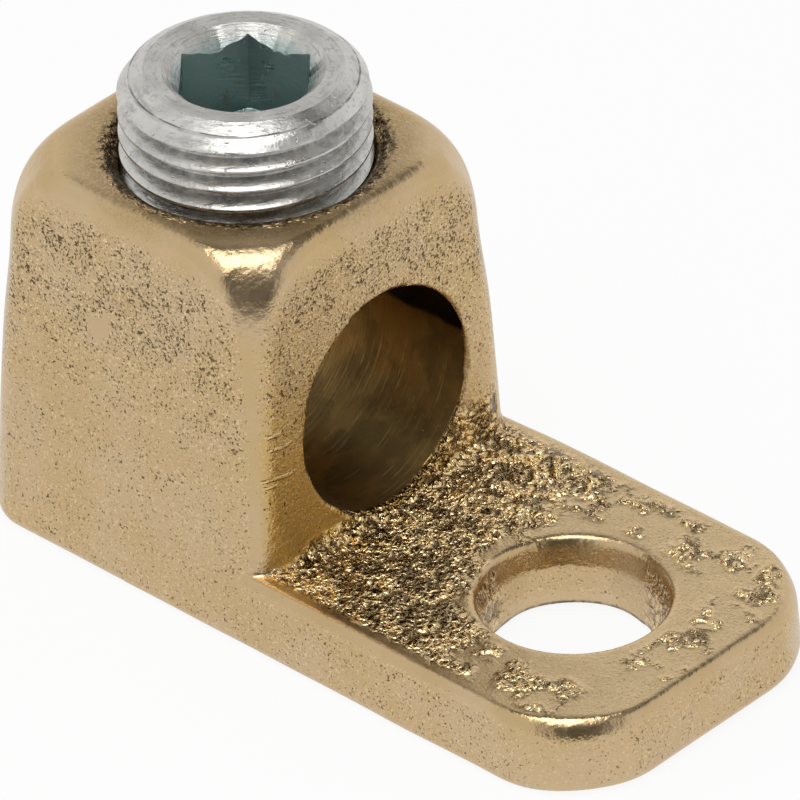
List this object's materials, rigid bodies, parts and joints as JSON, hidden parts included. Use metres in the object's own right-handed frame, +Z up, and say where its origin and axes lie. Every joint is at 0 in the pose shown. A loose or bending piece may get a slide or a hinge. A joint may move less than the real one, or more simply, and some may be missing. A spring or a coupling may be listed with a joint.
{
  "type": "mechanical lug",
  "caption": "Cast bronze wiring lug: a flat tongue drilled for a stud, and a square drafted barrel bored for a wire, with a socket set screw in its top that clamps the wire.",
  "frame": {"origin": "centre of the stud hole at the contact face under the tongue", "axes": "+Z up along the stud hole, +X from the barrel towards the tip of the tongue"},
  "size_m": [0.0515, 0.0252, 0.0325],
  "materials": {
    "cast_bronze": "as cast and tumbled, pitted flanks with smooth worn edges",
    "plated_steel": "turned and zinc plated, lightly worn"
  },
  "bodies": {
    "lug": {"lug_body": "cast_bronze"},
    "screw": {"set_screw": "plated_steel"}
  },
  "joints": [
    {"name": "screw_travel", "type": "slide", "parent": "lug", "child": "screw", "axis": [0, 0, 1], "range_m": [-0.0046, 0.003]}
  ]
}
